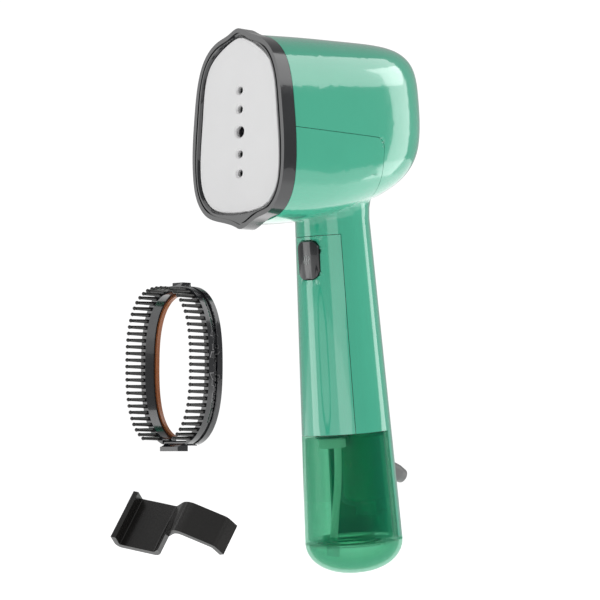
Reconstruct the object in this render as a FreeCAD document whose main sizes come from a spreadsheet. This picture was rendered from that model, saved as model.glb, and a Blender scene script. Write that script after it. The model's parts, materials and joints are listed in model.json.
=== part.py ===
"""Handheld garment steamer with its brush ring and its hanging hook.

Millimetres, +Z up. XZ is the plane of symmetry, and the soleplate faces -X.
The origin is in the middle of the hand grip, on the handle's axis.
Handle pieces are made upright about Z and then leaned about the origin.
"""

import FreeCAD, Part
import math
import os
import Sketcher
from FreeCAD import Placement, Rotation, Vector

SIZES = {
    # handle: a slightly tapered round grip that leans back at the bottom
    "handle_lean_deg": 5.5,
    "handle_radius_mid": 23.7,
    "handle_taper_per_mm": 0.036,
    "handle_top": 62.0,
    "handle_bottom": -52.5,
    "shell_wall": 2.2,
    "seam_gap": 0.3,
    "front_panel_half_angle": 56.0,
    "neck_flare_radius": 12.0,
    "neck_flare_height": 24.0,
    # head: outline heights are measured from the origin
    "bezel_front": -81.2,
    "bezel_depth": 9.8,
    "bezel_lip": 1.2,
    "bezel_band": 5.2,
    "bezel_slope": 1.5,
    "plate_edge": 0.6,
    "head_half_width": 36.5,
    "head_bottom": 62.0,
    "head_top": 166.5,
    "head_rear": 52.5,
    "head_taper": 0.08,
    "head_underside_rise": 38.0,
    "head_top_rise": 6.0,
    "tab_height": 3.2,
    "tab_half_width": 8.0,
    "plate_peak": 3.6,
    "plate_peak_half_width": 14.0,
    "head_seam_height": 113.0,
    "head_seam_end": 1.0,
    "head_seam_corner": 6.0,
    # soleplate
    "plate_thickness": 3.0,
    "plate_clearance": 0.2,
    "small_hole_radius": 2.0,
    "large_hole_radius": 3.1,
    "hole_pitch": 10.6,
    "hole_pitch_inner": 12.4,
    # steam generator
    "chamber_length": 16.0,
    "chamber_width": 46.0,
    "chamber_height": 66.0,
    "cover_thickness": 3.0,
    "gasket_thickness": 1.5,
    "element_radius": 3.2,
    "element_reach": 11.0,
    "inlet_radius": 4.0,
    "shield_thickness": 1.2,
    # button on the handle's front
    "button_width": 16.0,
    "button_height": 22.0,
    "button_depth": 7.0,
    "button_centre": 46.5,
    "button_proud": 0.8,
    "button_stem": 3.0,
    "plunger_length": 2.6,
    "button_clearance": 0.35,
    "button_corner": 5.5,
    "button_flange_over": 1.0,
    "button_flange_thickness": 1.0,
    "button_flange_setback": 5.0,
    # tank
    "tank_gap": 0.5,
    "tank_wall": 1.8,
    "tank_floor": -114.5,
    "mouth_offset": 12.2,
    "mouth_radius": 9.4,
    "neck_radius": 7.6,
    "neck_length": 8.0,
    "seal_clearance": 0.1,
    "tank_clearance": 0.35,
    "base_depth": 18.0,
    "base_fullness": 0.88,
    "base_wall": 2.0,
    "base_gap": 0.3,
    # spine behind the tank, with the cable entry
    "spine_wall": 2.5,
    "spine_half_angle": 70.0,
    "spine_foot": -112.5,
    "bulge_radius": 12.0,
    "bulge_offset": 11.5,
    "bulge_foot": -93.0,
    "gland_radius": 5.0,
    "gland_bore": 2.9,
    "gland_height": -73.0,
    "gland_drop_deg": 26.0,
    "gland_reach": 45.0,
    # water path
    "hose_radius": 2.2,
    "pump_radius": 12.0,
    "pump_length": 40.0,
    "plunger_radius": 3.5,
    # brush ring
    "brush_half_width": 27.0,
    "brush_half_height": 43.0,
    "brush_depth": 10.0,
    "brush_wall": 3.4,
    "brush_lining": 1.0,
    "brush_lining_depth": 2.5,
    "brush_x": -127.5,
    "brush_z": -18.0,
    "bristle_radius": 1.1,
    "bristle_length": 11.5,
    "bristle_count": 62,
    # hanging hook
    "hook_thickness": 3.0,
    "hook_width": 29.0,
    "hook_arm_trim": 11.0,
    "screw_head_radius": 2.6,
    "screw_shank_radius": 1.3,
}

doc = FreeCAD.newDocument("GarmentSteamer")
sheet = doc.addObject("Spreadsheet::Sheet", "Sizes")
for row, (alias, value) in enumerate(SIZES.items(), start=1):
    sheet.set("A%d" % row, alias)
    sheet.set("B%d" % row, str(value))
    sheet.setAlias("B%d" % row, alias)
doc.recompute()

NODES = []


def size(alias):
    return float(sheet.get(alias))


LEAN = Placement(Vector(0, 0, 0), Rotation(Vector(0, 1, 0), -size("handle_lean_deg")))
UPRIGHT = Placement()


def bind(thing, **expressions):
    for prop, expression in expressions.items():
        thing.setExpression(prop, expression)
    return thing


def node(thing, label, placement=UPRIGHT):
    """Names a finished sub-part and puts it in its place."""
    thing.Label = label
    if placement is not UPRIGHT:
        thing.Placement = placement.multiply(thing.Placement)
    NODES.append(thing)
    return thing


def made(label, shape, placement=UPRIGHT):
    """A sub-part whose shape is worked out here from the sheet."""
    thing = doc.addObject("Part::Feature", label)
    thing.Shape = shape
    return node(thing, label, placement)


def cylinder(name, radius, height, base=(0, 0, 0), axis=(0, 0, 1)):
    """A cylinder whose radius and height are expressions over the sheet."""
    thing = doc.addObject("Part::Cylinder", name)
    bind(thing, Radius=radius, Height=height)
    thing.Placement = Placement(Vector(*base), Rotation(Vector(0, 0, 1), Vector(*axis)))
    return thing


def block(name, length, width, height, corner=(0, 0, 0)):
    """A box whose sides are expressions over the sheet."""
    thing = doc.addObject("Part::Box", name)
    bind(thing, Length=length, Width=width, Height=height)
    thing.Placement.Base = Vector(*corner)
    return thing


def cut(name, base, tool):
    thing = doc.addObject("Part::Cut", name)
    thing.Base = base
    thing.Tool = tool
    return thing


def fuse(name, *shapes):
    thing = doc.addObject("Part::MultiFuse", name)
    thing.Shapes = list(shapes)
    return thing


def origin_plane(body, role):
    return [part for part in body.Origin.OriginFeatures if part.Role == role][0]


def outline_sketch(body, role, points):
    """A closed sketch of straight edges on one of the body's own planes."""
    sketch = body.newObject("Sketcher::SketchObject", body.Name + "Outline")
    sketch.AttachmentSupport = [(origin_plane(body, role), "")]
    sketch.MapMode = "FlatFace"
    count = len(points)
    for k in range(count):
        start, end = points[k], points[(k + 1) % count]
        sketch.addGeometry(Part.LineSegment(Vector(*start, 0), Vector(*end, 0)), False)
    for k in range(count):
        sketch.addConstraint(Sketcher.Constraint("Coincident", k, 2, (k + 1) % count, 1))
    return sketch


def padded(name, role, points, length, middle=False):
    """A body with one pad over a closed outline."""
    body = doc.addObject("PartDesign::Body", name)
    sketch = outline_sketch(body, role, points)
    pad = body.newObject("PartDesign::Pad", name + "Pad")
    pad.Profile = sketch
    bind(pad, Length=length)
    pad.Midplane = middle
    sketch.Visibility = False
    doc.recompute()
    return body


def turned(points, centre=(0, 0)):
    """A solid of revolution about Z from (radius, height) points."""
    corners = [Vector(centre[0] + radius, centre[1], height) for radius, height in points]
    face = Part.Face(Part.makePolygon(corners + corners[:1]))
    return face.revolve(Vector(centre[0], centre[1], 0), Vector(0, 0, 1), 360)


# ---------------------------------------------------------------- head form

# Half of the head's outline: share of the half width, share of the height.
HEAD_OUTLINE = [
    (0.0, 0.0), (0.36, 0.008), (0.68, 0.045), (0.89, 0.13), (0.985, 0.26), (1.0, 0.38),
    (0.955, 0.6), (0.87, 0.78), (0.71, 0.9), (0.45, 0.972), (0.2, 0.998), (0.0, 1.0),
]

HEAD_BACK = size("bezel_front") + size("bezel_depth")
HEAD_STATIONS = (0.0, 0.2, 0.4, 0.58, 0.73, 0.85, 0.93, 0.97, 0.99)


def head_section(share):
    """The head's x, half width, bottom and top at a share of its length, rounding off to the rear."""
    x = HEAD_BACK + share * (size("head_rear") - HEAD_BACK)
    side_round = (1 - share ** 5.5) ** 0.4
    end_round = (1 - share ** 13) ** 0.36
    half_width = size("head_half_width") * (1 - size("head_taper") * share) * side_round
    bottom = size("head_bottom") + size("head_underside_rise") * share ** 1.9
    top = size("head_top") + size("head_top_rise") * share ** 0.8
    middle, reach = (bottom + top) / 2, (top - bottom) / 2 * end_round
    return x, half_width, middle - reach, middle + reach


def section_wire(x, half_width, bottom, top, inset=0.0, tab=0.0, peak=0.0):
    """One closed smooth outline of the head, inset towards its middle, with tabs above and below."""
    right = []
    for across, up in HEAD_OUTLINE:
        y = across * half_width
        z = bottom + up * (top - bottom)
        middle = (bottom + top) / 2
        reach = math.hypot(y, z - middle)
        share = 1 - inset / reach
        swell = math.exp(-((y / size("tab_half_width")) ** 2) * 2) * tab
        crest = math.exp(-((y / size("plate_peak_half_width")) ** 2) * 2) * peak if z > middle else 0.0
        right.append((y * share, middle + (z - middle) * share + math.copysign(swell, z - middle) + crest))
    left = [(-y, z) for y, z in reversed(right[1:-1])]
    curve = Part.BSplineCurve()
    curve.interpolate([Vector(x, y, z) for y, z in right + left], PeriodicFlag=True)
    return Part.Wire(curve.toShape())


def outline_prism(front, back, inset, tab, peak=0.0):
    """The bezel's outline, inset, as a straight solid between two x positions."""
    wire = section_wire(front, size("head_half_width"), size("head_bottom"), size("head_top"), inset, tab,
                        peak)
    return Part.Face(wire).extrude(Vector(back - front, 0, 0))


def outline_taper(front, back, front_inset, back_inset):
    """The bezel's outline between two x positions, with a sloping edge."""
    wires = [section_wire(x, size("head_half_width"), size("head_bottom"), size("head_top"), inset, 0.0,
                          size("plate_peak"))
             for x, inset in ((front, front_inset), (back, back_inset))]
    return Part.makeLoft(wires, True, True)


def head_solid(inset):
    wires = []
    for share in HEAD_STATIONS:
        x, half_width, bottom, top = head_section(share)
        shift = -inset * (0.5 if share == 0 else share ** 4)
        wires.append(section_wire(x + shift, half_width, bottom, top, inset))
    return Part.makeLoft(wires, True, False)


def handle_radius(height):
    return size("handle_radius_mid") - size("handle_taper_per_mm") * height


NECK_TOP = size("handle_top") + 30.0


def handle_solid(inset, bottom, top=NECK_TOP):
    """The grip as a turned solid with the flare that blends it into the head."""
    start = top - size("neck_flare_height")
    points = [(0, bottom), (handle_radius(bottom) - inset, bottom), (handle_radius(start) - inset, start)]
    steps = 6
    for k in range(1, steps + 1):
        turn = math.pi / 2 * k / steps
        height = start + size("neck_flare_height") * math.sin(turn)
        radius = handle_radius(start) + size("neck_flare_radius") * (1 - math.cos(turn))
        points.append((radius - inset, height))
    points.append((0, top))
    solid = turned(points)
    solid.Placement = LEAN
    return solid


def far_box(low, high):
    return Part.makeBox(high[0] - low[0], high[1] - low[1], high[2] - low[2], Vector(*low))


OUTER = head_solid(0.0).fuse(handle_solid(0.0, size("handle_bottom")))
INNER = head_solid(size("shell_wall")).fuse(
    handle_solid(size("shell_wall"), size("handle_bottom") - 1.0, NECK_TOP - size("shell_wall"))
)
CASING = OUTER.cut(INNER).removeSplitter()


def cover_zone(grow):
    """Everything above and behind the parting line on the side of the head."""
    seam = size("head_seam_height") - grow
    back = size("head_seam_end") - grow
    upper = far_box((-100, -60, seam), (100, 60, 220))
    rear = far_box((back, -60, 80), (100, 60, seam + 1))
    zone = upper.fuse(rear).removeSplitter()
    corner = [edge for edge in zone.Edges
              if abs(edge.CenterOfMass.x - back) < 0.01 and abs(edge.CenterOfMass.z - seam) < 0.01]
    return zone.makeFillet(size("head_seam_corner") + grow, corner)


def panel_zone(shrink):
    """The wedge in front of the handle that the front panel fills."""
    half = math.radians(size("front_panel_half_angle"))
    reach = 60.0
    tip = shrink / math.sin(half)
    low = size("handle_bottom") - 2
    corners = [
        Vector(-tip, 0, low),
        Vector(-tip - reach * math.cos(half), reach * math.sin(half), low),
        Vector(-tip - reach, 0, low),
        Vector(-tip - reach * math.cos(half), -reach * math.sin(half), low),
    ]
    prism = Part.Face(Part.makePolygon(corners + corners[:1])).extrude(
        Vector(0, 0, size("handle_top") - low - 2 - shrink))
    prism.Placement = LEAN
    return prism


def button_outline(grow, depth, front):
    """The button's upright rounded outline, grown all round, as a solid along X in handle coordinates."""
    width = size("button_width") + 2 * grow
    height = size("button_height") + 2 * grow
    slab = Part.makeBox(depth, width, height, Vector(front, -width / 2, size("button_centre") - height / 2))
    sides = [edge for edge in slab.Edges if edge.BoundBox.XLength > depth - 0.01]
    return slab.makeFillet(size("button_corner") + grow, sides)


def leaned(shape):
    shape.Placement = LEAN.multiply(shape.Placement)
    return shape


GRIP_FRONT = -handle_radius(size("button_centre"))
BUTTON_SLOT = button_outline(size("button_clearance"), 20, GRIP_FRONT - 8)


def main_pieces(shape):
    """Keeps the largest solid of a cut."""
    return max(shape.Solids, key=lambda solid: solid.Volume)


def casing_shells():
    gap = size("seam_gap")
    panel = main_pieces(CASING.common(panel_zone(gap)))
    cover = CASING.common(cover_zone(0.0))
    body = CASING.cut(cover_zone(gap)).cut(panel_zone(0.0))
    made("head_cover_shell", main_pieces(cover))
    made("handle_body_shell", main_pieces(body))
    made("handle_front_panel", panel.cut(leaned(BUTTON_SLOT.copy())))


# ------------------------------------------------------- bezel and soleplate

PLATE_FRONT = size("bezel_front") + size("bezel_lip")
PLATE_BACK = PLATE_FRONT + size("plate_thickness")


def bezel():
    ring = outline_prism(size("bezel_front"), HEAD_BACK - size("seam_gap"), 0.0, size("tab_height"))
    mouth = outline_prism(size("bezel_front") + 0.5, HEAD_BACK + 1, size("bezel_band"), 0.0,
                          size("plate_peak"))
    mouth = mouth.fuse(outline_taper(size("bezel_front") - 0.5, PLATE_FRONT,
                                     size("bezel_band") - size("bezel_slope"),
                                     size("bezel_band")))
    groove = outline_prism(size("bezel_front") - 1, size("bezel_front") + 0.9, 2.4, size("tab_height"))
    groove = groove.cut(outline_prism(size("bezel_front") - 2, HEAD_BACK, 3.4, size("tab_height")))
    made("front_bezel", ring.cut(mouth).cut(groove))


HOLE_MIDDLE = 112.4
HOLE_HEIGHTS = [
    HOLE_MIDDLE + side * (size("hole_pitch_inner") + step * size("hole_pitch"))
    for side in (1, -1) for step in (0, 1)
]


def soleplate():
    inset = size("bezel_band") + size("plate_clearance")
    plate = outline_prism(PLATE_FRONT + size("plate_edge"), PLATE_BACK, inset, 0.0, size("plate_peak"))
    plate = plate.fuse(outline_taper(PLATE_FRONT, PLATE_FRONT + size("plate_edge"),
                                     inset + size("plate_edge"), inset))
    for height in HOLE_HEIGHTS + [HOLE_MIDDLE]:
        radius = size("large_hole_radius") if height == HOLE_MIDDLE else size("small_hole_radius")
        start = Vector(PLATE_FRONT - 1, 0, height)
        plate = plate.cut(Part.makeCylinder(radius, 8, start, Vector(1, 0, 0)))
        dish = Part.makeCone(radius + 1.0, radius, 1.0, Vector(PLATE_FRONT, 0, height), Vector(1, 0, 0))
        plate = plate.cut(dish)
    made("soleplate", plate)


INLET_HEIGHT = HOLE_MIDDLE - 2.0


def steam_generator():
    width, height = size("chamber_width"), size("chamber_height")
    low = HOLE_MIDDLE - height / 2
    body = block("ChamberBlock", "Sizes.chamber_length", "Sizes.chamber_width", "Sizes.chamber_height",
                 (PLATE_BACK, -width / 2, low))
    cave = doc.addObject("Part::Box", "ChamberCave")
    bind(cave, Length="Sizes.chamber_length - 6", Width="Sizes.chamber_width - 20",
         Height="Sizes.chamber_height - 14")
    cave.Placement.Base = Vector(PLATE_BACK - 1, -(width - 20) / 2, low + 7)
    back = PLATE_BACK + size("chamber_length")
    rear = back + size("cover_thickness")
    shield_x = rear + 2 * size("element_radius") + 4
    lid = block("ChamberLid", "Sizes.cover_thickness", "Sizes.chamber_width - 6",
                "Sizes.chamber_height - 6", (back, -(width - 6) / 2, low + 3))
    port = cylinder("InletPort", "Sizes.inlet_radius", "Sizes.element_radius * 2 + 4", (rear, 0,
            INLET_HEIGHT), (1, 0, 0))
    drilled = doc.addObject("Part::Feature", "ScrewHoles")
    drilled.Shape = Part.makeCompound(chamber_screw_shapes() + [
        Part.makeCylinder(1.5, 40, Vector(back - 4, 0, INLET_HEIGHT), Vector(1, 0, 0))])
    node(cut("DrilledLid", fuse("PortedLid", lid, port), drilled), "chamber_cover")
    node(cut("DrilledChamber", cut("SteamChamber", body, cave), drilled), "steam_chamber")
    loop = size("element_reach")
    middle = Vector(rear + size("element_radius"), 0, HOLE_MIDDLE + 6)
    ring = Part.makeTorus(loop, size("element_radius"), middle, Vector(1, 0, 0))
    arch = ring.common(far_box((rear - 1, -30, middle.z), (rear + 20, 30, middle.z + 40)))
    legs = [Part.makeCylinder(size("element_radius"), 26, middle + Vector(0, side * loop, 0), Vector(0, 0,
            -1))
            for side in (-1, 1)]
    made("heating_element", arch.fuse(legs).removeSplitter())
    stat_height = HOLE_MIDDLE - 20
    stat = Part.makeCylinder(7, 5, Vector(rear, 0, stat_height), Vector(1, 0, 0))
    stat = stat.cut(far_box((rear - 1, 7.7, 0), (rear + 9, 20, 200))).cut(far_box((rear - 1, -20, 0),
            (rear + 9, -7.7, 200)))
    stat = stat.fuse(Part.makeCylinder(5, 4, Vector(rear + 5, 0, stat_height), Vector(1, 0, 0)))
    made("thermostat", stat.removeSplitter())
    made("thermal_fuse", Part.makeCylinder(2, 22, Vector(rear + 2, -11, HOLE_MIDDLE + 25), Vector(0, 1, 0)))
    shield = far_box((shield_x, -25, low + 4), (shield_x + size("shield_thickness"), 25, low + height - 6))
    posts = []
    for side in (-1, 1):
        for end in (low + 8, low + height - 10):
            posts.append(Part.makeCylinder(2.2, shield_x - rear, Vector(rear, side * 17.5, end), Vector(1,
                    0, 0)))
    made("heat_shield", shield.fuse(posts).removeSplitter())
    gasket = outline_prism(PLATE_BACK, PLATE_BACK + size("gasket_thickness"), size("bezel_band") + 0.4, 0.0)
    hole = far_box((PLATE_BACK - 1, -width / 2 - 0.3, low - 0.3), (PLATE_BACK + 9, width / 2 + 0.3,
            low + height + 0.3))
    made("plate_gasket", gasket.cut(hole))
    return shield_x


# ------------------------------------------------------------------- button


def button_group():
    depth = size("button_depth")
    front = GRIP_FRONT - size("button_proud")
    centre = size("button_centre")
    cap = button_outline(0.0, depth, front)
    rim = [edge for edge in cap.Edges if abs(edge.BoundBox.XMin - front) < 0.01
           and abs(edge.BoundBox.XMax - front) < 0.01]
    cap = cap.makeFillet(1.2, rim)
    flange = button_outline(size("button_flange_over"), size("button_flange_thickness"),
                            GRIP_FRONT + size("button_flange_setback"))
    stem_length = size("button_stem")
    stem = Part.makeCylinder(2.0, stem_length, Vector(front + depth, 0, centre), Vector(1, 0, 0))
    made("steam_button", cap.fuse(flange).fuse(stem).removeSplitter(), LEAN)
    stem_end = front + depth + stem_length
    switch_front = stem_end + size("plunger_length") + 0.3
    carrier_x = switch_front + 3.3
    carrier = far_box((carrier_x, -9, centre - 14), (carrier_x + 2, 9, centre + 14))
    half = math.sqrt(handle_radius(centre) ** 2 - carrier_x ** 2) - size("shell_wall") - 0.7
    carrier = carrier.fuse(far_box((carrier_x, -half, centre - 3), (carrier_x + 2, half, centre + 3)))
    made("switch_carrier", carrier.removeSplitter(), LEAN)
    switch = far_box((switch_front, -3.2, centre - 6.5), (carrier_x, 3.2, centre + 6.5))
    made("micro_switch", switch.cut(Part.makeCylinder(1.3, 9, Vector(switch_front - 1, 0, centre),
                                                      Vector(1, 0, 0))), LEAN)
    made("switch_plunger", Part.makeCylinder(
        1.2, size("plunger_length"), Vector(stem_end + 0.15, 0, centre), Vector(1, 0, 0)), LEAN)
    spring_start = front + depth + 0.3
    spring = Part.makeCylinder(3.4, switch_front - 0.3 - spring_start, Vector(spring_start, 0, centre),
                               Vector(1, 0, 0))
    made("button_spring", spring.cut(Part.makeCylinder(2.7, 20, Vector(front, 0, centre), Vector(1, 0,
            0))), LEAN)


# ------------------------------------------------------------- tank and spine

DECK_TOP = size("handle_bottom") + 3.0
TANK_TOP = size("handle_bottom") - size("tank_gap")


def taper_solid(inset, bottom, top):
    return turned([(0, bottom), (handle_radius(bottom) - inset, bottom), (handle_radius(top) - inset,
            top), (0, top)])


def wedge_zone(half_angle_deg, bottom, top, shrink=0.0):
    """The rear sector of the tank's height that the spine takes."""
    half = math.radians(half_angle_deg)
    start = shrink / math.sin(half)
    reach = 70.0
    corners = [
        Vector(start, 0, bottom),
        Vector(start + reach * math.cos(half), reach * math.sin(half), bottom),
        Vector(start + reach, 0, bottom),
        Vector(start + reach * math.cos(half), -reach * math.sin(half), bottom),
    ]
    return Part.Face(Part.makePolygon(corners + corners[:1])).extrude(Vector(0, 0, top - bottom))


def bulge(grow, foot, top):
    radius = size("bulge_radius") + grow
    column = Part.makeCylinder(radius, top - foot, Vector(size("bulge_offset"), 0, foot))
    rim = [edge for edge in column.Edges if abs(edge.BoundBox.ZMax - foot) < 0.01 and edge.Length > 10]
    return column.makeFillet(5.0 + grow / 2, rim)


def gland_direction():
    drop = math.radians(size("gland_drop_deg"))
    return Vector(math.cos(drop), 0, -math.sin(drop))


GLAND_ROOT = Vector(15.0, 0, size("gland_height") + 5.0)


def spine():
    wall = size("spine_wall")
    foot = size("spine_foot")
    top = size("handle_bottom")
    strip = taper_solid(0.0, foot, top).cut(taper_solid(wall, foot - 1, top + 1))
    strip = strip.common(wedge_zone(size("spine_half_angle"), foot, top))
    inside = taper_solid(wall - 0.01, foot, top)
    housing = bulge(0.0, size("bulge_foot"), top).common(inside)
    cavity = bulge(-1.8, size("bulge_foot") + 1.8, top + 5).common(taper_solid(wall - 0.3, foot, top + 6))
    shape = strip.fuse(housing).cut(cavity)
    lug = far_box((14, -6, size("bulge_foot") - 6), (handle_radius(-100) - wall + 0.1, 6,
                                                     size("bulge_foot") + 2))
    shape = shape.fuse(lug.common(inside)).cut(gland_envelope()).cut(Part.makeCompound(spine_screw_shapes()))
    made("handle_spine", main_pieces(shape.removeSplitter()), LEAN)


def gland_envelope():
    """The gland without its bore: an inner collar, the sleeve and its tapered tip."""
    way = gland_direction()
    length = (size("gland_reach") - GLAND_ROOT.x - 6) / way.x
    start = GLAND_ROOT + way * 4
    sleeve = Part.makeCylinder(size("gland_radius"), length - 4, start, way)
    collar = Part.makeCylinder(size("gland_radius") + 1.2, 2.0, start, way)
    tip = Part.makeCone(size("gland_radius"), size("gland_radius") - 0.8, 5, start + way * (length - 4),
                        way)
    return sleeve.fuse([collar, tip]).removeSplitter()


def cord_gland():
    bore = Part.makeCylinder(size("gland_bore"), 80, GLAND_ROOT, gland_direction())
    made("cord_gland", gland_envelope().cut(bore), LEAN)


def tank():
    wall = size("tank_wall")
    clear = size("tank_clearance")
    floor = size("tank_floor")
    strip_wall = size("spine_wall") + clear
    full = taper_solid(0.0, floor, TANK_TOP)
    strip = taper_solid(0.0, size("spine_foot") - clear, TANK_TOP + 5).cut(
        taper_solid(strip_wall, floor - 5, TANK_TOP + 6))
    strip = strip.common(wedge_zone(size("spine_half_angle") + 0.9, floor - 2, TANK_TOP + 5))
    outer = full.cut(strip).cut(bulge(clear, size("bulge_foot") - clear, TANK_TOP + 5))
    lug_top = size("bulge_foot") + 3
    lug = far_box((13.6, -6.4, size("bulge_foot") - 6.4), (40, 6.4, lug_top))
    lug_path = far_box((13.6, -6.4, lug_top - 1), (40, 6.4, TANK_TOP + 5))
    outer = outer.cut(lug).cut(lug_path)
    core = taper_solid(wall, floor + 2.0, TANK_TOP - 2.0)
    core = core.cut(taper_solid(0.0, floor, TANK_TOP + 5).cut(taper_solid(strip_wall + wall, floor - 5,
            TANK_TOP + 6))
                    .common(wedge_zone(size("spine_half_angle") + 6, floor, TANK_TOP + 5)))
    core = core.cut(bulge(clear + wall, size("bulge_foot") - clear - wall, TANK_TOP + 5))
    core = core.cut(far_box((11.8, -8.2, size("bulge_foot") - 8.2), (40, 8.2, TANK_TOP + 5)))
    drain = Part.makeCylinder(15.0, 20, Vector(-4, 0, floor - 10))
    mouth = Part.makeCylinder(size("mouth_radius"), 6, Vector(-size("mouth_offset"), 0, TANK_TOP - 3))
    made("tank_body", main_pieces(outer.cut(main_pieces(core)).cut(drain).cut(mouth)), LEAN)


def tank_base():
    rim = size("tank_floor") - size("base_gap")
    outer_radius = handle_radius(rim)
    depth = size("base_depth")
    wall = size("base_wall")

    def bowl(radius, drop):
        steps = 10
        arc = [(radius * math.cos(math.pi / 2 * k / steps) ** size("base_fullness"),
                rim - drop * math.sin(math.pi / 2 * k / steps))
               for k in range(steps)]
        return turned([(0, rim)] + arc + [(0, rim - drop)])

    shape = bowl(outer_radius, depth).cut(bowl(outer_radius - wall, depth - wall))
    lip = Part.makeCylinder(14.8, 4, Vector(-4, 0, rim)).cut(Part.makeCylinder(13.2, 6, Vector(-4, 0,
            rim - 1)))
    web = Part.makeCylinder(outer_radius - wall + 0.3, 1.4, Vector(0, 0, rim - 1.4)).cut(
        Part.makeCylinder(13.2, 4, Vector(-4, 0, rim - 3)))
    made("tank_base_cap", shape.fuse(web).fuse(lip).removeSplitter(), LEAN)
    seat = Part.makeCylinder(18.5, size("base_gap"), Vector(-4, 0, rim)).cut(
        Part.makeCylinder(15.0, 2, Vector(-4, 0, rim - 0.5)))
    made("base_seal", seat, LEAN)


def deck():
    """The lid that closes the handle above the tank and carries the seal."""
    low = size("handle_bottom") + 0.1
    high = low + 3.0
    plate = taper_solid(size("shell_wall") + 0.1, low, high)
    axis = Vector(-size("mouth_offset"), 0, low)
    neck = Part.makeCylinder(size("neck_radius"), size("neck_length"), axis, Vector(0, 0, -1))
    bores = Part.makeCylinder(size("hose_radius") + 0.05, 30, Vector(-8, 0, low - 12))
    wires = Part.makeCylinder(size("bulge_radius") - 3, 10, Vector(size("bulge_offset"), 0, low - 3))
    plate = plate.cut(wires.common(taper_solid(4.5, low - 4, high + 2)))
    made("handle_deck", plate.fuse(neck).cut(bores).removeSplitter(), LEAN)
    thick = (size("mouth_radius") - size("seal_clearance") - size("neck_radius")) / 2
    made("tank_seal", Part.makeTorus(size("neck_radius") + thick, thick, Vector(-size("mouth_offset"), 0,
            TANK_TOP - 1)), LEAN)


# ------------------------------------------------------------------ water path


def rounded_route(points, radius, bend):
    """A round tube of straight runs joined by tangent arcs."""
    edges = []
    start = points[0]
    for k in range(1, len(points) - 1):
        before = (points[k] - points[k - 1]).normalize()
        after = (points[k + 1] - points[k]).normalize()
        turn = before.getAngle(after)
        reach = bend[k - 1] * math.tan(turn / 2)
        enter = points[k] - before * reach
        leave = points[k] + after * reach
        middle_way = (after - before).normalize()
        middle = points[k] + middle_way * (bend[k - 1] / math.cos(turn / 2) - bend[k - 1])
        edges.append(Part.LineSegment(start, enter).toShape())
        edges.append(Part.Arc(enter, middle, leave).toShape())
        start = leave
    edges.append(Part.LineSegment(start, points[-1]).toShape())
    path = Part.Wire(edges)
    way = (points[1] - points[0]).normalize()
    ring = Part.Wire(Part.makeCircle(radius, points[0], way))
    return path.makePipeShell([ring], True, False), path.Length


def largest_bends(points):
    """The largest arc that fits at each point: 0.45 of the shorter run over tan(half the turn)."""
    bends = []
    for k in range(1, len(points) - 1):
        before = points[k] - points[k - 1]
        after = points[k + 1] - points[k]
        turn = before.getAngle(after)
        bends.append(0.45 * min(before.Length, after.Length) / math.tan(turn / 2))
    return bends


SUCTION_ROUTE = [
    Vector(-8.0, 0, -48.0), Vector(-8.0, 0, -66.0), Vector(-9.0, 1.2, -84.0),
    Vector(-11.2, 3.2, -102.0), Vector(-12.2, 4.6, -118.0),
]


def water_path():
    bends = largest_bends(SUCTION_ROUTE)
    tube, length = rounded_route(SUCTION_ROUTE, size("hose_radius"), bends)
    bore, _ = rounded_route(SUCTION_ROUTE, size("hose_radius") - 0.9, bends)
    made("suction_hose", tube.cut(bore), LEAN)
    print("suction hose length %.1f, bend radii %s" % (length, [round(b, 1) for b in bends]))
    end = SUCTION_ROUTE[-1]
    way = (SUCTION_ROUTE[-1] - SUCTION_ROUTE[-2]).normalize()
    weight = Part.makeCylinder(3.6, 8.0, end - way * 4.0, way)
    weight = weight.cut(Part.makeCylinder(size("hose_radius"), 4.0, end - way * 4.0, way))
    made("hose_weight", weight.cut(Part.makeCylinder(1.2, 20, end, way)), LEAN)


PUMP_LOW = -38.0


def pump():
    length = size("pump_length")
    shell = cylinder("PumpShell", "Sizes.pump_radius", "Sizes.pump_length", (0, 0, PUMP_LOW))
    bore = cylinder("PumpBore", "Sizes.pump_radius - 4", "Sizes.pump_length + 2", (0, 0, PUMP_LOW - 1))
    node(cut("PumpCoil", shell, bore), "pump_coil", LEAN)
    sleeve = cylinder("PumpSleeve", "Sizes.pump_radius - 4", "Sizes.pump_length + 12", (0, 0, PUMP_LOW - 6))
    hole = cylinder("PumpHole", "Sizes.plunger_radius + 0.05", "Sizes.pump_length + 4", (0, 0,
            PUMP_LOW - 1))
    outlet = cylinder("PumpWay", "Sizes.plunger_radius - 2", "Sizes.pump_length + 30", (0, 0,
            PUMP_LOW - 10))
    node(cut("PumpBody", sleeve, fuse("PumpBores", hole, outlet)), "pump_body", LEAN)
    plunger = cylinder("PumpPlunger", "Sizes.plunger_radius", "Sizes.pump_length - 14", (0, 0,
            PUMP_LOW + 1))
    way = cylinder("PlungerWay", "Sizes.plunger_radius - 2.2", "Sizes.pump_length", (0, 0, PUMP_LOW - 2))
    node(cut("PumpPlungerBored", plunger, way), "pump_plunger", LEAN)
    top = PUMP_LOW + 1 + length - 14 + 0.2
    coil = Part.makeCylinder(3.2, PUMP_LOW + length + 2.6 - top, Vector(0, 0, top))
    made("pump_spring", coil.cut(Part.makeCylinder(2.4, 60, Vector(0, 0, top - 1))), LEAN)
    saddle_top = PUMP_LOW + length + 4.2
    saddle = Part.makeCylinder(handle_radius(saddle_top) - size("shell_wall") - 0.1, 4, Vector(0, 0,
            saddle_top - 4))
    saddle = saddle.cut(Part.makeCylinder(size("pump_radius") - 3.9, 8, Vector(0, 0,
            PUMP_LOW + length - 1)))
    notch = far_box((8, -30, PUMP_LOW + length - 1), (40, 30, PUMP_LOW + length + 8))
    made("pump_saddle", saddle.cut(notch), LEAN)


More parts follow.
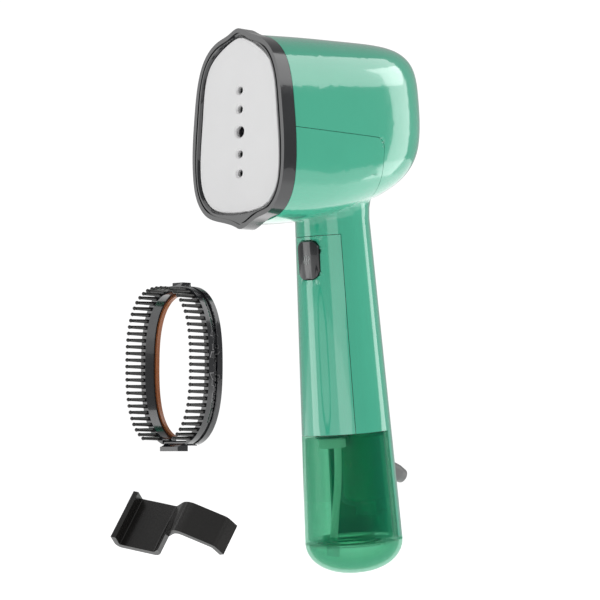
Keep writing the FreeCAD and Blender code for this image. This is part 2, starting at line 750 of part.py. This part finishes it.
def check_valve():
    low = PUMP_LOW + size("pump_length") + 6.0
    body = Part.makeCylinder(5.0, 16, Vector(0, 0, low))
    body = body.cut(Part.makeCylinder(3.0, 11, Vector(0, 0, low + 2))).cut(Part.makeCylinder(1.4, 40,
            Vector(0, 0, low - 5)))
    made("check_valve_body", body, LEAN)
    poppet = Part.makeCylinder(2.95, 3.0, Vector(0, 0, low + 2.02)).fuse(Part.makeCylinder(1.2, 4.0,
            Vector(0, 0, low + 5)))
    made("valve_poppet", poppet.removeSplitter(), LEAN)
    coil = Part.makeCylinder(2.6, low + 13 - (low + 5.2), Vector(0, 0, low + 5.2))
    made("valve_spring", coil.cut(Part.makeCylinder(1.9, 30, Vector(0, 0, low))), LEAN)
    return low + 16


def feed_hose(valve_top, shield_x):
    """The hose from the valve up to the steam chamber's inlet."""
    start = LEAN.multVec(Vector(0, 0, valve_top))
    way = LEAN.Rotation.multVec(Vector(0, 0, 1))
    points = [start, start + way * 22, start + way * 44 + Vector(-1, 0, 0), Vector(-20, 0, INLET_HEIGHT),
              Vector(shield_x + size("shield_thickness"), 0, INLET_HEIGHT)]
    bends = largest_bends(points)
    tube, length = rounded_route(points, 2.6, bends)
    bore, _ = rounded_route(points, 1.5, bends)
    made("feed_hose", tube.cut(bore))
    print("feed hose length %.1f, bend radii %s" % (length, [round(b, 1) for b in bends]))


# ------------------------------------------------------------ electric pieces


def electrics():
    board = padded("ControlBoard", "XY_Plane", [(-13, -16), (13, -16), (13, 16), (-13, 16)], "1.6 * 1")
    board.Placement = Placement(Vector(16, 0, 132), Rotation(Vector(0, 1, 0), 90))
    doc.recompute()
    node(board, "control_board")
    rail = far_box((17.8, -14, 127), (21, -10, 137)).fuse(far_box((17.8, 10, 127), (21, 14, 137)))
    cross = far_box((20.8, -50, 127), (22.8, 50, 137)).common(head_solid(size("shell_wall") + 0.3))
    made("board_bracket", rail.fuse(cross).removeSplitter())
    relay = far_box((6, -8, 134), (15.9, 8, 144))
    made("relay", relay)
    block_shape = far_box((5, -10, 119.3), (15.9, 10, 127))
    for k in (-1, 0, 1):
        block_shape = block_shape.cut(Part.makeCylinder(1.6, 9, Vector(3, k * 6, 123), Vector(1, 0, 0)))
    made("terminal_block", block_shape)
    clamp_low = size("gland_height") + 14
    clamp = far_box((8, -20, clamp_low), (13, 20, clamp_low + 4))
    pocket = Part.makeCylinder(size("bulge_radius") - 2.1, 4, Vector(size("bulge_offset"), 0, clamp_low))
    made("cord_clamp", clamp.common(pocket), LEAN)


def screw(position, way, length):
    """One cross-head screw: a low head on a plain shank."""
    head = Part.makeCylinder(size("screw_head_radius"), 1.6, position, way)
    slot = Part.makeBox(0.7, 3.2, 0.8, Vector(-0.35, -1.6, -0.01))
    slot = slot.fuse(Part.makeBox(3.2, 0.7, 0.8, Vector(-1.6, -0.35, -0.01)))
    slot.Placement = Placement(position, Rotation(Vector(0, 0, 1), way))
    shank = Part.makeCylinder(size("screw_shank_radius"), length, position + way * 1.6, way)
    return head.cut(slot).fuse(shank).removeSplitter()


def chamber_screw_shapes():
    rear = PLATE_BACK + size("chamber_length") + size("cover_thickness")
    return [screw(Vector(rear + 1.6, side * 17.2, HOLE_MIDDLE + rise), Vector(-1, 0, 0), 8)
            for side in (-1, 1) for rise in (-16, 14)]


def spine_screw_shapes():
    front = size("bulge_offset") - size("bulge_radius")
    return [screw(Vector(front + 0.1, 0, height), Vector(1, 0, 0), 5) for height in (-71.0, -58.0)]


def screws():
    made("chamber_screws", Part.makeCompound(chamber_screw_shapes()))
    made("spine_screws", Part.makeCompound(spine_screw_shapes()), LEAN)


# ------------------------------------------------------------------ accessories


def oval_wire(half_width, half_height, x, z):
    """A rounded, slightly squared ring outline."""
    points = []
    count = 24
    for k in range(count):
        turn = 2 * math.pi * k / count
        c, s = math.cos(turn), math.sin(turn)
        power = 0.78
        points.append(Vector(x, half_width * math.copysign(abs(c) ** power, c),
                             z + half_height * math.copysign(abs(s) ** power, s)))
    curve = Part.BSplineCurve()
    curve.interpolate(points, PeriodicFlag=True)
    return Part.Wire(curve.toShape())


def oval_prism(half_width, half_height, x, depth, z):
    return Part.Face(oval_wire(half_width, half_height, x, z)).extrude(Vector(depth, 0, 0))


def brush():
    x, z = size("brush_x"), size("brush_z")
    wide, tall, wall = size("brush_half_width"), size("brush_half_height"), size("brush_wall")
    depth = size("brush_depth")
    frame = oval_prism(wide, tall, x, depth, z).cut(oval_prism(wide - wall, tall - wall, x - 1, depth + 2,
            z))
    step = oval_prism(wide + 1, tall + 1, x + 4, 2.2, z).cut(oval_prism(wide - 0.8, tall - 0.8, x + 3, 5,
            z))
    top_tab = far_box((x + 2, -4, z + tall - 1.0), (x + 8, 4, z + tall + 1.8))
    latch_gap = far_box((x - 1, -9.4, z - tall - 5), (x + 11, 9.4, z - tall + wall + 0.6))
    low = z - tall
    pin_half = 11.5
    pin = Part.makeCylinder(0.9, 2 * pin_half, Vector(x + 7.0, -pin_half, low + 1.8), Vector(0, 1, 0))
    bore = Part.makeCylinder(0.95, 2 * pin_half, Vector(x + 7.0, -pin_half, low + 1.8), Vector(0, 1, 0))
    made("brush_frame", main_pieces(frame.cut(step).fuse(top_tab).cut(latch_gap).cut(pin).removeSplitter()))
    made("brush_latch_pin", pin)
    strip = size("brush_lining_depth")
    lining = oval_prism(wide - wall - 0.02, tall - wall - 0.02, x + depth - strip - 0.5, strip, z)
    inner = size("brush_lining")
    lining = lining.cut(oval_prism(wide - wall - inner, tall - wall - inner, x, depth, z))
    made("brush_lining", lining)
    bristles = []
    count = int(size("bristle_count"))
    path = oval_wire(wide - wall / 2, tall - wall / 2, x, z)
    for point in path.discretize(count + 1)[:-1]:
        if point.z < z - tall + wall and abs(point.y) < 10.8:
            continue
        root = point + Vector(-0.01, 0, 0)
        stick = Part.makeCone(size("bristle_radius"), size("bristle_radius") * 0.75,
                              size("bristle_length"), root, Vector(-1, 0, 0))
        tip = Part.makeSphere(size("bristle_radius") * 0.95, root + Vector(-size("bristle_length"), 0, 0))
        bristles.append(stick.fuse(tip))
    made("brush_bristles", Part.makeCompound(bristles))
    latch = far_box((x + 0.5, -9, low + 0.4), (x + 8.2, 9, low + 3.0))
    latch = latch.fuse(far_box((x - 4.0, -7, low - 2.6), (x + 3.4, 7, low + 1.6)))
    scoop = Part.makeCylinder(8, 20, Vector(x - 5.5, -10, low + 7.6), Vector(0, 1, 0))
    made("brush_latch", main_pieces(latch.cut(scoop).cut(bore).removeSplitter()))


# The folded strip of the hook, as its mid line: a channel, a ridge and a turned-down end.
HOOK_LINE = [(0, 8), (0, 0), (23.0, 0), (32.0, 8.5), (52.0, 0.0), (55.0, -6.5)]
HOOK_RADII = [2.0, 4.0, 6.5, 3.5]
HOOK_PLACE = Vector(-161.8, -3.2, -101.0)
HOOK_LENGTH_WAY = Vector(0.305, -0.931, -0.171)
HOOK_WIDTH_WAY = Vector(-0.60, -0.01, -0.80)


def offset_line(points, distance):
    """The line moved sideways, with mitred corners."""
    moved = []
    for k, (across, up) in enumerate(points):
        normals = []
        for start, end in ((k - 1, k), (k, k + 1)):
            if 0 <= start and end < len(points):
                run = (points[end][0] - points[start][0], points[end][1] - points[start][1])
                span = math.hypot(*run)
                normals.append((-run[1] / span, run[0] / span))
        total = (sum(n[0] for n in normals), sum(n[1] for n in normals))
        scale = distance * len(normals) / (total[0] ** 2 + total[1] ** 2)
        moved.append((across + total[0] * scale, up + total[1] * scale))
    return moved


def rounded_line(points, radii):
    """The line with each inner corner turned into a short arc."""
    steps = 5
    line = [points[0]]
    for before, corner, after, radius in zip(points, points[1:], points[2:], radii):
        arms = [Vector(end[0] - corner[0], end[1] - corner[1], 0).normalize() for end in (before, after)]
        half_turn = math.acos(max(-1.0, min(1.0, arms[0].dot(arms[1])))) / 2
        reach = radius / math.tan(half_turn)
        here = Vector(corner[0], corner[1], 0)
        centre = here + (arms[0] + arms[1]).normalize() * (radius / math.sin(half_turn))
        first = here + arms[0] * reach - centre
        last = here + arms[1] * reach - centre
        spread = first.getAngle(last)
        for step in range(steps + 1):
            share = step / steps
            spot = centre + (first * math.sin((1 - share) * spread) + last * math.sin(share * spread)) * (
                1 / math.sin(spread))
            line.append((spot.x, spot.y))
    return line + [points[-1]]


def hook():
    half = size("hook_thickness") / 2
    middle = rounded_line(HOOK_LINE, HOOK_RADII)
    loop = offset_line(middle, half) + list(reversed(offset_line(middle, -half)))
    body = padded("HangingHook", "XY_Plane", loop, "Sizes.hook_width", middle=True)
    along = Vector(HOOK_LENGTH_WAY).normalize()
    width = Vector(HOOK_WIDTH_WAY)
    width = (width - along * width.dot(along)).normalize()
    rise = width.cross(along)
    turn = Rotation(along, rise, width, "XYZ")
    body.Placement = Placement(HOOK_PLACE, turn)
    arm_start = HOOK_LINE[2][0] + size("hook_thickness")
    trim = block("HookTrim", "Sizes.hook_width * 2", "Sizes.hook_width * 2", "Sizes.hook_width")
    trim.Placement = body.Placement.multiply(
        Placement(Vector(arm_start, -size("hook_width"), size("hook_width") / 2 - size("hook_arm_trim")),
                  Rotation()))
    doc.recompute()
    node(cut("HookTrimmed", body, trim), "hanging_hook")


def main():
    casing_shells()
    bezel()
    soleplate()
    shield_x = steam_generator()
    button_group()
    spine()
    cord_gland()
    tank()
    tank_base()
    deck()
    water_path()
    pump()
    feed_hose(check_valve(), shield_x)
    electrics()
    screws()
    brush()
    hook()
    doc.recompute()
    for thing in doc.Objects:
        if {"Invalid", "Error"} & set(thing.State):
            raise RuntimeError("failed: " + thing.Label)
    for thing in NODES:
        if thing.Shape.isNull() or not thing.Shape.isValid() or not thing.Shape.Solids:
            raise RuntimeError("bad shape: " + thing.Label)
    os.makedirs("parts", exist_ok=True)
    for thing in NODES:
        thing.Shape.exportStep("parts/" + thing.Label + ".step")
        print("%-20s %2d solids %9.1f mm3" % (thing.Label, len(thing.Shape.Solids), thing.Shape.Volume))
    print(len(NODES), "nodes")


main()
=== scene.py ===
"""Looks of the handheld garment steamer, its brush ring and its hanging hook. Metres, +Z up."""

import json
import math

import bpy
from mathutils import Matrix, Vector


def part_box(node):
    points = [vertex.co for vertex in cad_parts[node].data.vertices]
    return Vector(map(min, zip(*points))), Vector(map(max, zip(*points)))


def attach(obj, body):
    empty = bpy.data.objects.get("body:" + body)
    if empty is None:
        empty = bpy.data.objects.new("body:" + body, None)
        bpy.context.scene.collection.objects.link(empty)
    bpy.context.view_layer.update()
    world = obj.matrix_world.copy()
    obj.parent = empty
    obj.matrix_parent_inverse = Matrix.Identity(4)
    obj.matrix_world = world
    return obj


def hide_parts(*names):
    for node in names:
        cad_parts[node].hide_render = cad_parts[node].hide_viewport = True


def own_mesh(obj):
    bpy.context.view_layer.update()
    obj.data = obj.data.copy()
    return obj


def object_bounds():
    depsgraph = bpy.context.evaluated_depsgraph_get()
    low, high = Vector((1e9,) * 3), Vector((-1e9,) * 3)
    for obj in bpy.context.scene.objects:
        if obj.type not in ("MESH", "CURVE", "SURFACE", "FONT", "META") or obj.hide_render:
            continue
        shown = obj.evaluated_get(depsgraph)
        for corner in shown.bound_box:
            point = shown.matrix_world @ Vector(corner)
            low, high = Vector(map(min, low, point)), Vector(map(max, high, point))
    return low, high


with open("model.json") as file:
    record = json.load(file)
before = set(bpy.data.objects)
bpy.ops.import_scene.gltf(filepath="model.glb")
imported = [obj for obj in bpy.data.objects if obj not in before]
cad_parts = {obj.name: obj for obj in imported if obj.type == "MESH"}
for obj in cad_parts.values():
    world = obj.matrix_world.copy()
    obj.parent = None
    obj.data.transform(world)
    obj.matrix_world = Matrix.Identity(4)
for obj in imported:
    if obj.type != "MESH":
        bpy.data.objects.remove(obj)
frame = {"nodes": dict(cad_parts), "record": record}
CAD_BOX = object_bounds()
NODES = frame["nodes"]

LEAN = math.radians(5.5)
ACROSS = Vector((math.cos(LEAN), 0, math.sin(LEAN)))
ALONG = Vector((-math.sin(LEAN), 0, math.cos(LEAN)))


def on_handle(x, y, z):
    """A point given in the leaned handle's own directions."""
    return ACROSS * x + Vector((0, y, 0)) + ALONG * z


# ------------------------------------------------------------------ shader maths


class Value:
    """A node output that can be used in Python sums."""

    def __init__(self, finish, socket):
        self.finish = finish
        self.socket = socket

    def math(self, operation, *others):
        return self.finish.node("ShaderNodeMath", {"operation": operation}, self, *others)

    def __add__(self, other):
        return self.math("ADD", other)

    def __sub__(self, other):
        return self.math("SUBTRACT", other)

    def __mul__(self, other):
        return self.math("MULTIPLY", other)

    def __rsub__(self, other):
        return (self * -1.0) + other

    __radd__ = __add__
    __rmul__ = __mul__

    def clamp(self):
        return self.finish.node("ShaderNodeClamp", {}, self)


class Finish:
    """One material, built by adding nodes in order."""

    def __init__(self, name):
        self.material = bpy.data.materials.new(name)
        self.material.use_nodes = True
        self.tree = self.material.node_tree
        self.shader = self.tree.nodes["Principled BSDF"]
        self.output = self.tree.nodes["Material Output"]

    def feed(self, socket, value):
        if isinstance(value, Value):
            self.tree.links.new(value.socket, socket)
        else:
            socket.default_value = value

    def node(self, kind, settings, *values, out=0, **named):
        made = self.tree.nodes.new(kind)
        for key, setting in settings.items():
            setattr(made, key, setting)
        for socket, value in zip(made.inputs, values):
            self.feed(socket, value)
        for key, value in named.items():
            self.feed(made.inputs[key.replace("_", " ")], value)
        return Value(self, made.outputs[out])

    def place(self):
        return self.node("ShaderNodeTexCoord", {}, out=3)

    def noise(self, scale, detail=3.0):
        return self.node("ShaderNodeTexNoise", {}, Vector=self.place(), Scale=scale, Detail=detail)

    def mix(self, factor, first, second):
        made = self.tree.nodes.new("ShaderNodeMix")
        made.data_type = "RGBA"
        self.feed(made.inputs[0], factor)
        self.feed(made.inputs[6], first)
        self.feed(made.inputs[7], second)
        return Value(self, made.outputs[2])

    def bump(self, height, strength, distance=0.0002):
        normal = self.node("ShaderNodeBump", {}, Strength=strength, Distance=distance, Height=height)
        self.feed(self.shader.inputs["Normal"], normal)

    def set(self, **named):
        for key, value in named.items():
            self.feed(self.shader.inputs[key.replace("_", " ")], value)


def rgb(red, green, blue):
    return (red, green, blue, 1.0)


def moulded(name, colour, deep, roughness, grain=260.0, strength=0.05, coat=0.0, metal=0.0):
    """Moulded plastic, rubber or metal with a faint cloud of tone and a fine skin."""
    finish = Finish(name)
    cloud = finish.noise(38.0, 4.0)
    skin = finish.noise(grain, 2.0)
    finish.set(
        Base_Color=finish.mix((cloud - 0.4) * 1.6, colour, deep),
        Roughness=(cloud * 0.05 + (skin - 0.5) * 0.05 + (roughness - 0.02)).clamp(),
        Metallic=metal,
        Coat_Weight=coat,
        Coat_Roughness=0.04,
    )
    finish.bump(skin, strength)
    return finish.material


def clear_green(name, tint, glaze):
    """Clear green plastic: it tints what is behind it and mirrors the lamps."""
    finish = Finish(name)
    see = finish.tree.nodes.new("ShaderNodeBsdfTransparent")
    see.inputs["Color"].default_value = tint
    rim = finish.node("ShaderNodeLayerWeight", {}, Blend=0.35, out=1)
    swirl = finish.noise(12.0, 1.0)
    finish.set(
        Base_Color=finish.mix(swirl, glaze, rgb(0.02, 0.30, 0.16)),
        Roughness=swirl * 0.03 + 0.03,
    )
    blend = finish.tree.nodes.new("ShaderNodeMixShader")
    finish.feed(blend.inputs[0], (rim * 0.55 + 0.07 + swirl * 0.02).clamp())
    finish.tree.links.new(see.outputs[0], blend.inputs[1])
    finish.tree.links.new(finish.shader.outputs[0], blend.inputs[2])
    finish.tree.links.new(blend.outputs[0], finish.output.inputs["Surface"])
    return finish.material


def pale_plate():
    """Pearl coated sole with a very fine speckle."""
    finish = Finish("plate_coat_finish")
    speckle = finish.noise(900.0, 2.0)
    cloud = finish.noise(24.0, 3.0)
    finish.set(
        Base_Color=finish.mix(cloud, rgb(0.55, 0.55, 0.555), rgb(0.61, 0.61, 0.61)),
        Roughness=speckle * 0.08 + 0.32,
    )
    finish.bump(speckle, 0.04, 0.0001)
    return finish.material


def wound_copper():
    """Copper winding: fine turns along the handle."""
    finish = Finish("copper_finish")
    turns = finish.node(
        "ShaderNodeTexWave", {"bands_direction": "Z"}, Vector=finish.place(), Scale=420.0, out=1)
    finish.set(
        Base_Color=finish.mix(turns, rgb(0.35, 0.12, 0.05), rgb(0.72, 0.33, 0.15)),
        Metallic=0.9,
        Roughness=turns * 0.1 + 0.25,
    )
    finish.bump(turns, 0.4)
    return finish.material


MINT = moulded(
    "mint_gloss_finish", rgb(0.040, 0.345, 0.220), rgb(0.034, 0.320, 0.202),
    0.11, coat=0.9, strength=0.015)
DARK = moulded(
    "dark_gloss_finish", rgb(0.005, 0.0055, 0.007), rgb(0.009, 0.010, 0.012),
    0.15, coat=0.5, strength=0.02)
SATIN = moulded(
    "dark_satin_finish", rgb(0.007, 0.0065, 0.006), rgb(0.012, 0.011, 0.010),
    0.24, grain=700.0, strength=0.10)
WHITE = moulded("inner_white_finish", rgb(0.70, 0.70, 0.66), rgb(0.62, 0.62, 0.58), 0.45)
HEATPROOF = moulded(
    "inner_heatproof_finish", rgb(0.05, 0.045, 0.04), rgb(0.08, 0.07, 0.06),
    0.6, grain=500.0, strength=0.2)
CAST = moulded(
    "cast_alu_finish", rgb(0.55, 0.55, 0.57), rgb(0.42, 0.42, 0.44),
    0.42, grain=900.0, strength=0.3, metal=0.95)
STEEL = moulded(
    "steel_finish", rgb(0.55, 0.55, 0.55), rgb(0.45, 0.45, 0.46),
    0.26, grain=900.0, metal=1.0)
BRASS = moulded(
    "brass_finish", rgb(0.62, 0.40, 0.15), rgb(0.50, 0.30, 0.10),
    0.25, grain=900.0, metal=1.0)
SILICONE = moulded(
    "silicone_finish", rgb(0.56, 0.66, 0.58), rgb(0.46, 0.58, 0.50),
    0.35, strength=0.05)
SEAL = moulded(
    "seal_rubber_finish", rgb(0.02, 0.02, 0.02), rgb(0.035, 0.035, 0.035),
    0.6, grain=600.0, strength=0.15)
GLAND = moulded(
    "gland_rubber_finish", rgb(0.105, 0.105, 0.104), rgb(0.135, 0.135, 0.133),
    0.38, grain=800.0, strength=0.15)
BOARD = moulded("board_green_finish", rgb(0.01, 0.12, 0.04), rgb(0.015, 0.16, 0.06), 0.4)
ORANGE = moulded(
    "lining_orange_finish", rgb(0.24, 0.07, 0.015), rgb(0.17, 0.045, 0.01),
    0.30, strength=0.08)
MARK = moulded("button_mark_finish", rgb(0.30, 0.31, 0.31), rgb(0.25, 0.26, 0.26), 0.35)
PLATE = pale_plate()
COPPER = wound_copper()
TANK = clear_green("tank_green_finish", rgb(0.61, 0.85, 0.74), rgb(0.02, 0.38, 0.22))

FINISHES = {
    "mint_gloss": MINT, "dark_gloss": DARK, "dark_satin": SATIN, "inner_white": WHITE,
    "inner_heatproof": HEATPROOF, "plate_coat": PLATE, "cast_alu": CAST, "steel": STEEL, "brass": BRASS,
    "tank_green": TANK, "silicone": SILICONE, "seal_rubber": SEAL, "gland_rubber": GLAND, "copper": COPPER,
    "board_green": BOARD, "lining_orange": ORANGE,
}
SLOT_OF = {entry["node"]: entry["material_slot"] for entry in frame["record"]["subparts"]}
BODY_OF = {
    node: body
    for body, nodes in frame["record"]["behaviour"]["bodies"].items()
    for node in nodes
}

for name, thing in NODES.items():
    thing.data.materials.clear()
    thing.data.materials.append(FINISHES[SLOT_OF[name]])


# ------------------------------------------------------------------ shells


def only(thing):
    bpy.ops.object.select_all(action="DESELECT")
    thing.select_set(True)
    bpy.context.view_layer.objects.active = thing


MERGE_GAP = 0.000005
FLAT_TURN = math.radians(0.4)
SHARP_TURN = math.radians(32.0)


def skin_of(node):
    """A finished copy of a CAD piece: joined up, its flat faces merged and its shading smoothed."""
    thing = bpy.data.objects.new(node + "_skin", NODES[node].data.copy())
    bpy.context.collection.objects.link(thing)
    only(thing)
    bpy.ops.object.mode_set(mode="EDIT")
    bpy.ops.mesh.select_all(action="SELECT")
    bpy.ops.mesh.remove_doubles(threshold=MERGE_GAP)
    bpy.ops.mesh.dissolve_limited(angle_limit=FLAT_TURN)
    bpy.ops.object.mode_set(mode="OBJECT")
    bpy.ops.object.shade_smooth_by_angle(angle=SHARP_TURN)
    flat = thing.modifiers.new("even", "WEIGHTED_NORMAL")
    flat.keep_sharp = True
    flat.weight = 80
    bpy.ops.object.modifier_apply(modifier="even")
    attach(thing, BODY_OF[node])
    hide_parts(node)
    return thing


def front_reach(node):
    """How far a piece stands out in front of the handle's axis."""
    return -min(vertex.co.dot(ACROSS) for vertex in NODES[node].data.vertices)


CROWN_FACETS = 240
CROWN_TALL = 0.12
BUTTON_EDGE = 0.0005


def crowned_button():
    """The button with its face curved to follow the handle."""
    button = skin_of("steam_button")
    low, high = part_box("steam_button")
    turn = ALONG.to_track_quat("Z", "Y").to_euler()
    bpy.ops.object.select_all(action="DESELECT")
    bpy.ops.mesh.primitive_cylinder_add(
        vertices=CROWN_FACETS, radius=front_reach("steam_button"), depth=CROWN_TALL,
        location=ALONG * ((low + high) / 2).dot(ALONG), rotation=turn)
    round_handle = bpy.context.object
    only(button)
    crown = button.modifiers.new("crown", "BOOLEAN")
    crown.operation = "INTERSECT"
    crown.solver = "EXACT"
    crown.object = round_handle
    bpy.ops.object.modifier_apply(modifier="crown")
    bpy.data.objects.remove(round_handle)
    edge = button.modifiers.new("edge", "BEVEL")
    edge.width = BUTTON_EDGE
    edge.segments = 3
    edge.limit_method = "ANGLE"
    edge.angle_limit = math.radians(25.0)
    bpy.ops.object.modifier_apply(modifier="edge")
    bpy.ops.object.shade_smooth_by_angle(angle=math.radians(40.0))


for node in ("head_cover_shell", "handle_body_shell", "handle_front_panel", "handle_spine"):
    skin_of(node)
crowned_button()
for node in ("front_bezel", "soleplate", "cord_gland", "tank_body", "tank_base_cap",
             "brush_frame", "brush_lining", "brush_latch", "brush_bristles", "hanging_hook", "spine_screws"):
    skin_of(node)


# ------------------------------------------------------------------ springs


def shortening_spring(node):
    """A spring shown by a finished copy of its CAD piece, with a mesh of its own."""
    spring = skin_of(node)
    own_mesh(spring)


shortening_spring("button_spring")
shortening_spring("pump_spring")
shortening_spring("valve_spring")


# ------------------------------------------------------------------ suction hose

# The hose's route in the handle's own directions, in metres.
HOSE_ROUTE = [
    (-0.0080, 0.0, -0.0480),
    (-0.0080, 0.0, -0.0660),
    (-0.0090, 0.0012, -0.0840),
    (-0.0112, 0.0032, -0.1020),
    (-0.0122, 0.0046, -0.1180),
]
HOSE_RADIUS = 0.0022


def smooth_line(name, points, radius, sides=4):
    """A smooth round line through a few points."""
    curve = bpy.data.curves.new(name, "CURVE")
    curve.dimensions = "3D"
    line = curve.splines.new("NURBS")
    line.points.add(len(points) - 1)
    for point, place in zip(line.points, points):
        point.co = (*place, 1.0)
    line.order_u = 3
    line.use_endpoint_u = True
    line.resolution_u = 24
    curve.bevel_depth = radius
    curve.bevel_resolution = sides
    curve.use_fill_caps = True
    thing = bpy.data.objects.new(name, curve)
    bpy.context.collection.objects.link(thing)
    return thing


def suction_hose():
    route = [on_handle(*point) for point in HOSE_ROUTE]
    hose = smooth_line("suction_hose_line", route, HOSE_RADIUS)
    hose.data.materials.append(SILICONE)
    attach(hose, BODY_OF["suction_hose"])
    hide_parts("suction_hose")


suction_hose()


# ------------------------------------------------------------------ steam mark

MARK_SIZE = 0.0052
# The waves' spacing and the outer waves' height are shares of the mark's size.
WAVE_SPACING = 0.34
OUTER_WAVE = 0.78
WAVE_RADIUS = 0.00028
WAVE_SWAY = 0.001
SWAYS = (0.0, 0.55, 0.0, -0.55, 0.0)


def steam_mark():
    """Three rising waves, moulded just proud of the button."""
    low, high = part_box("steam_button")
    middle = (low + high) / 2
    rise = middle.dot(ALONG)
    reach = front_reach("steam_button")
    for index in (-1, 0, 1):
        across = index * MARK_SIZE * WAVE_SPACING
        tall = MARK_SIZE * (1.0 if index == 0 else OUTER_WAVE)
        points = []
        for step, sway in enumerate(SWAYS):
            height = rise + tall * (step / 4 - 0.5)
            side = across + sway * WAVE_SWAY
            points.append(on_handle(-math.sqrt(reach ** 2 - side ** 2), side, height))
        wave = smooth_line("steam_mark_%d" % (index + 2), points, WAVE_RADIUS, 2)
        only(wave)
        bpy.ops.object.convert(target="MESH")
        wave.data.materials.clear()
        wave.data.materials.append(MARK)
        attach(wave, BODY_OF["steam_button"])


steam_mark()


# ------------------------------------------------------------------ studio

VIEW_SIDE = math.radians(-45.0)
VIEW_RISE = math.radians(-3.5)
VIEW_DISTANCE = 1.5
SENSOR = 36.0
FRAME_WIDTH = 0.342
AIM = Vector((-0.0172, 0.0153, 0.0228))
# The floor lies below the tank's full travel, so that it is clear of the tank when it is pulled off.
FLOOR_DROP = 0.09
FLOOR_SIZE = 12.0
FLOOR_GLOW = 0.80
WORLD_AS_LIGHT = 0.40
WORLD_AS_SEEN = 1.05
# Each panel's name, its turn and rise in degrees, then its distance, width, height and brightness.
PANELS = [
    ("front_panel", -2.0, 4.0, 2.1, 1.20, 1.5, 1.2),
    ("left_strip", -86.0, 8.0, 1.2, 0.45, 1.7, 2.0),
    ("right_strip", 112.0, 4.0, 1.3, 0.40, 1.7, 2.2),
    ("side_box", 86.0, 40.0, 1.3, 1.40, 0.62, 2.0),
    ("top_box", -30.0, 75.0, 1.1, 0.80, 0.7, 1.3),
]


def camera():
    toward = Vector((math.sin(VIEW_SIDE) * math.cos(VIEW_RISE),
                     -math.cos(VIEW_SIDE) * math.cos(VIEW_RISE),
                     math.sin(VIEW_RISE)))
    data = bpy.data.cameras.new("camera")
    data.sensor_width = SENSOR
    data.lens = SENSOR * VIEW_DISTANCE / FRAME_WIDTH
    data.clip_end = 20.0
    eye = bpy.data.objects.new("camera", data)
    bpy.context.collection.objects.link(eye)
    eye.location = AIM + toward * VIEW_DISTANCE
    eye.rotation_euler = toward.to_track_quat("Z", "Y").to_euler()
    bpy.context.scene.camera = eye


def lamp(name, turn, rise, reach, width, height, brightness):
    """A soft panel turned to the right of the camera and raised above the level, in degrees."""
    side = VIEW_SIDE + math.radians(turn)
    level = math.cos(math.radians(rise))
    place = reach * Vector((math.sin(side) * level, -math.cos(side) * level,
                            math.sin(math.radians(rise))))
    data = bpy.data.lights.new(name, "AREA")
    data.shape = "RECTANGLE"
    data.size = width
    data.size_y = height
    data.energy = brightness * math.pi * width * height
    thing = bpy.data.objects.new(name, data)
    bpy.context.collection.objects.link(thing)
    thing.location = place
    thing.rotation_euler = place.to_track_quat("Z", "Y").to_euler()


def studio():
    bpy.context.scene.view_settings.view_transform = "Standard"
    bpy.ops.mesh.primitive_plane_add(size=FLOOR_SIZE, location=(0, 0, CAD_BOX[0][2] - FLOOR_DROP))
    floor = bpy.context.object
    floor.name = "floor"
    paper = Finish("floor_paper")
    fibre = paper.noise(60.0, 3.0)
    paper.set(
        Base_Color=paper.mix(fibre, rgb(0.93, 0.93, 0.93), rgb(0.96, 0.96, 0.96)),
        Roughness=0.9,
        Emission_Color=rgb(1.0, 1.0, 1.0),
        Emission_Strength=FLOOR_GLOW,
    )
    floor.data.materials.append(paper.material)
    world = bpy.data.worlds.new("studio")
    bpy.context.scene.world = world
    world.use_nodes = True
    tree = world.node_tree
    seen = tree.nodes.new("ShaderNodeLightPath")
    level = tree.nodes.new("ShaderNodeMapRange")
    level.inputs["To Min"].default_value = WORLD_AS_LIGHT
    level.inputs["To Max"].default_value = WORLD_AS_SEEN
    tree.links.new(seen.outputs["Is Camera Ray"], level.inputs["Value"])
    tree.nodes["Background"].inputs[0].default_value = (1, 1, 1, 1)
    tree.links.new(level.outputs[0], tree.nodes["Background"].inputs[1])
    for panel in PANELS:
        lamp(*panel)


camera()
studio()
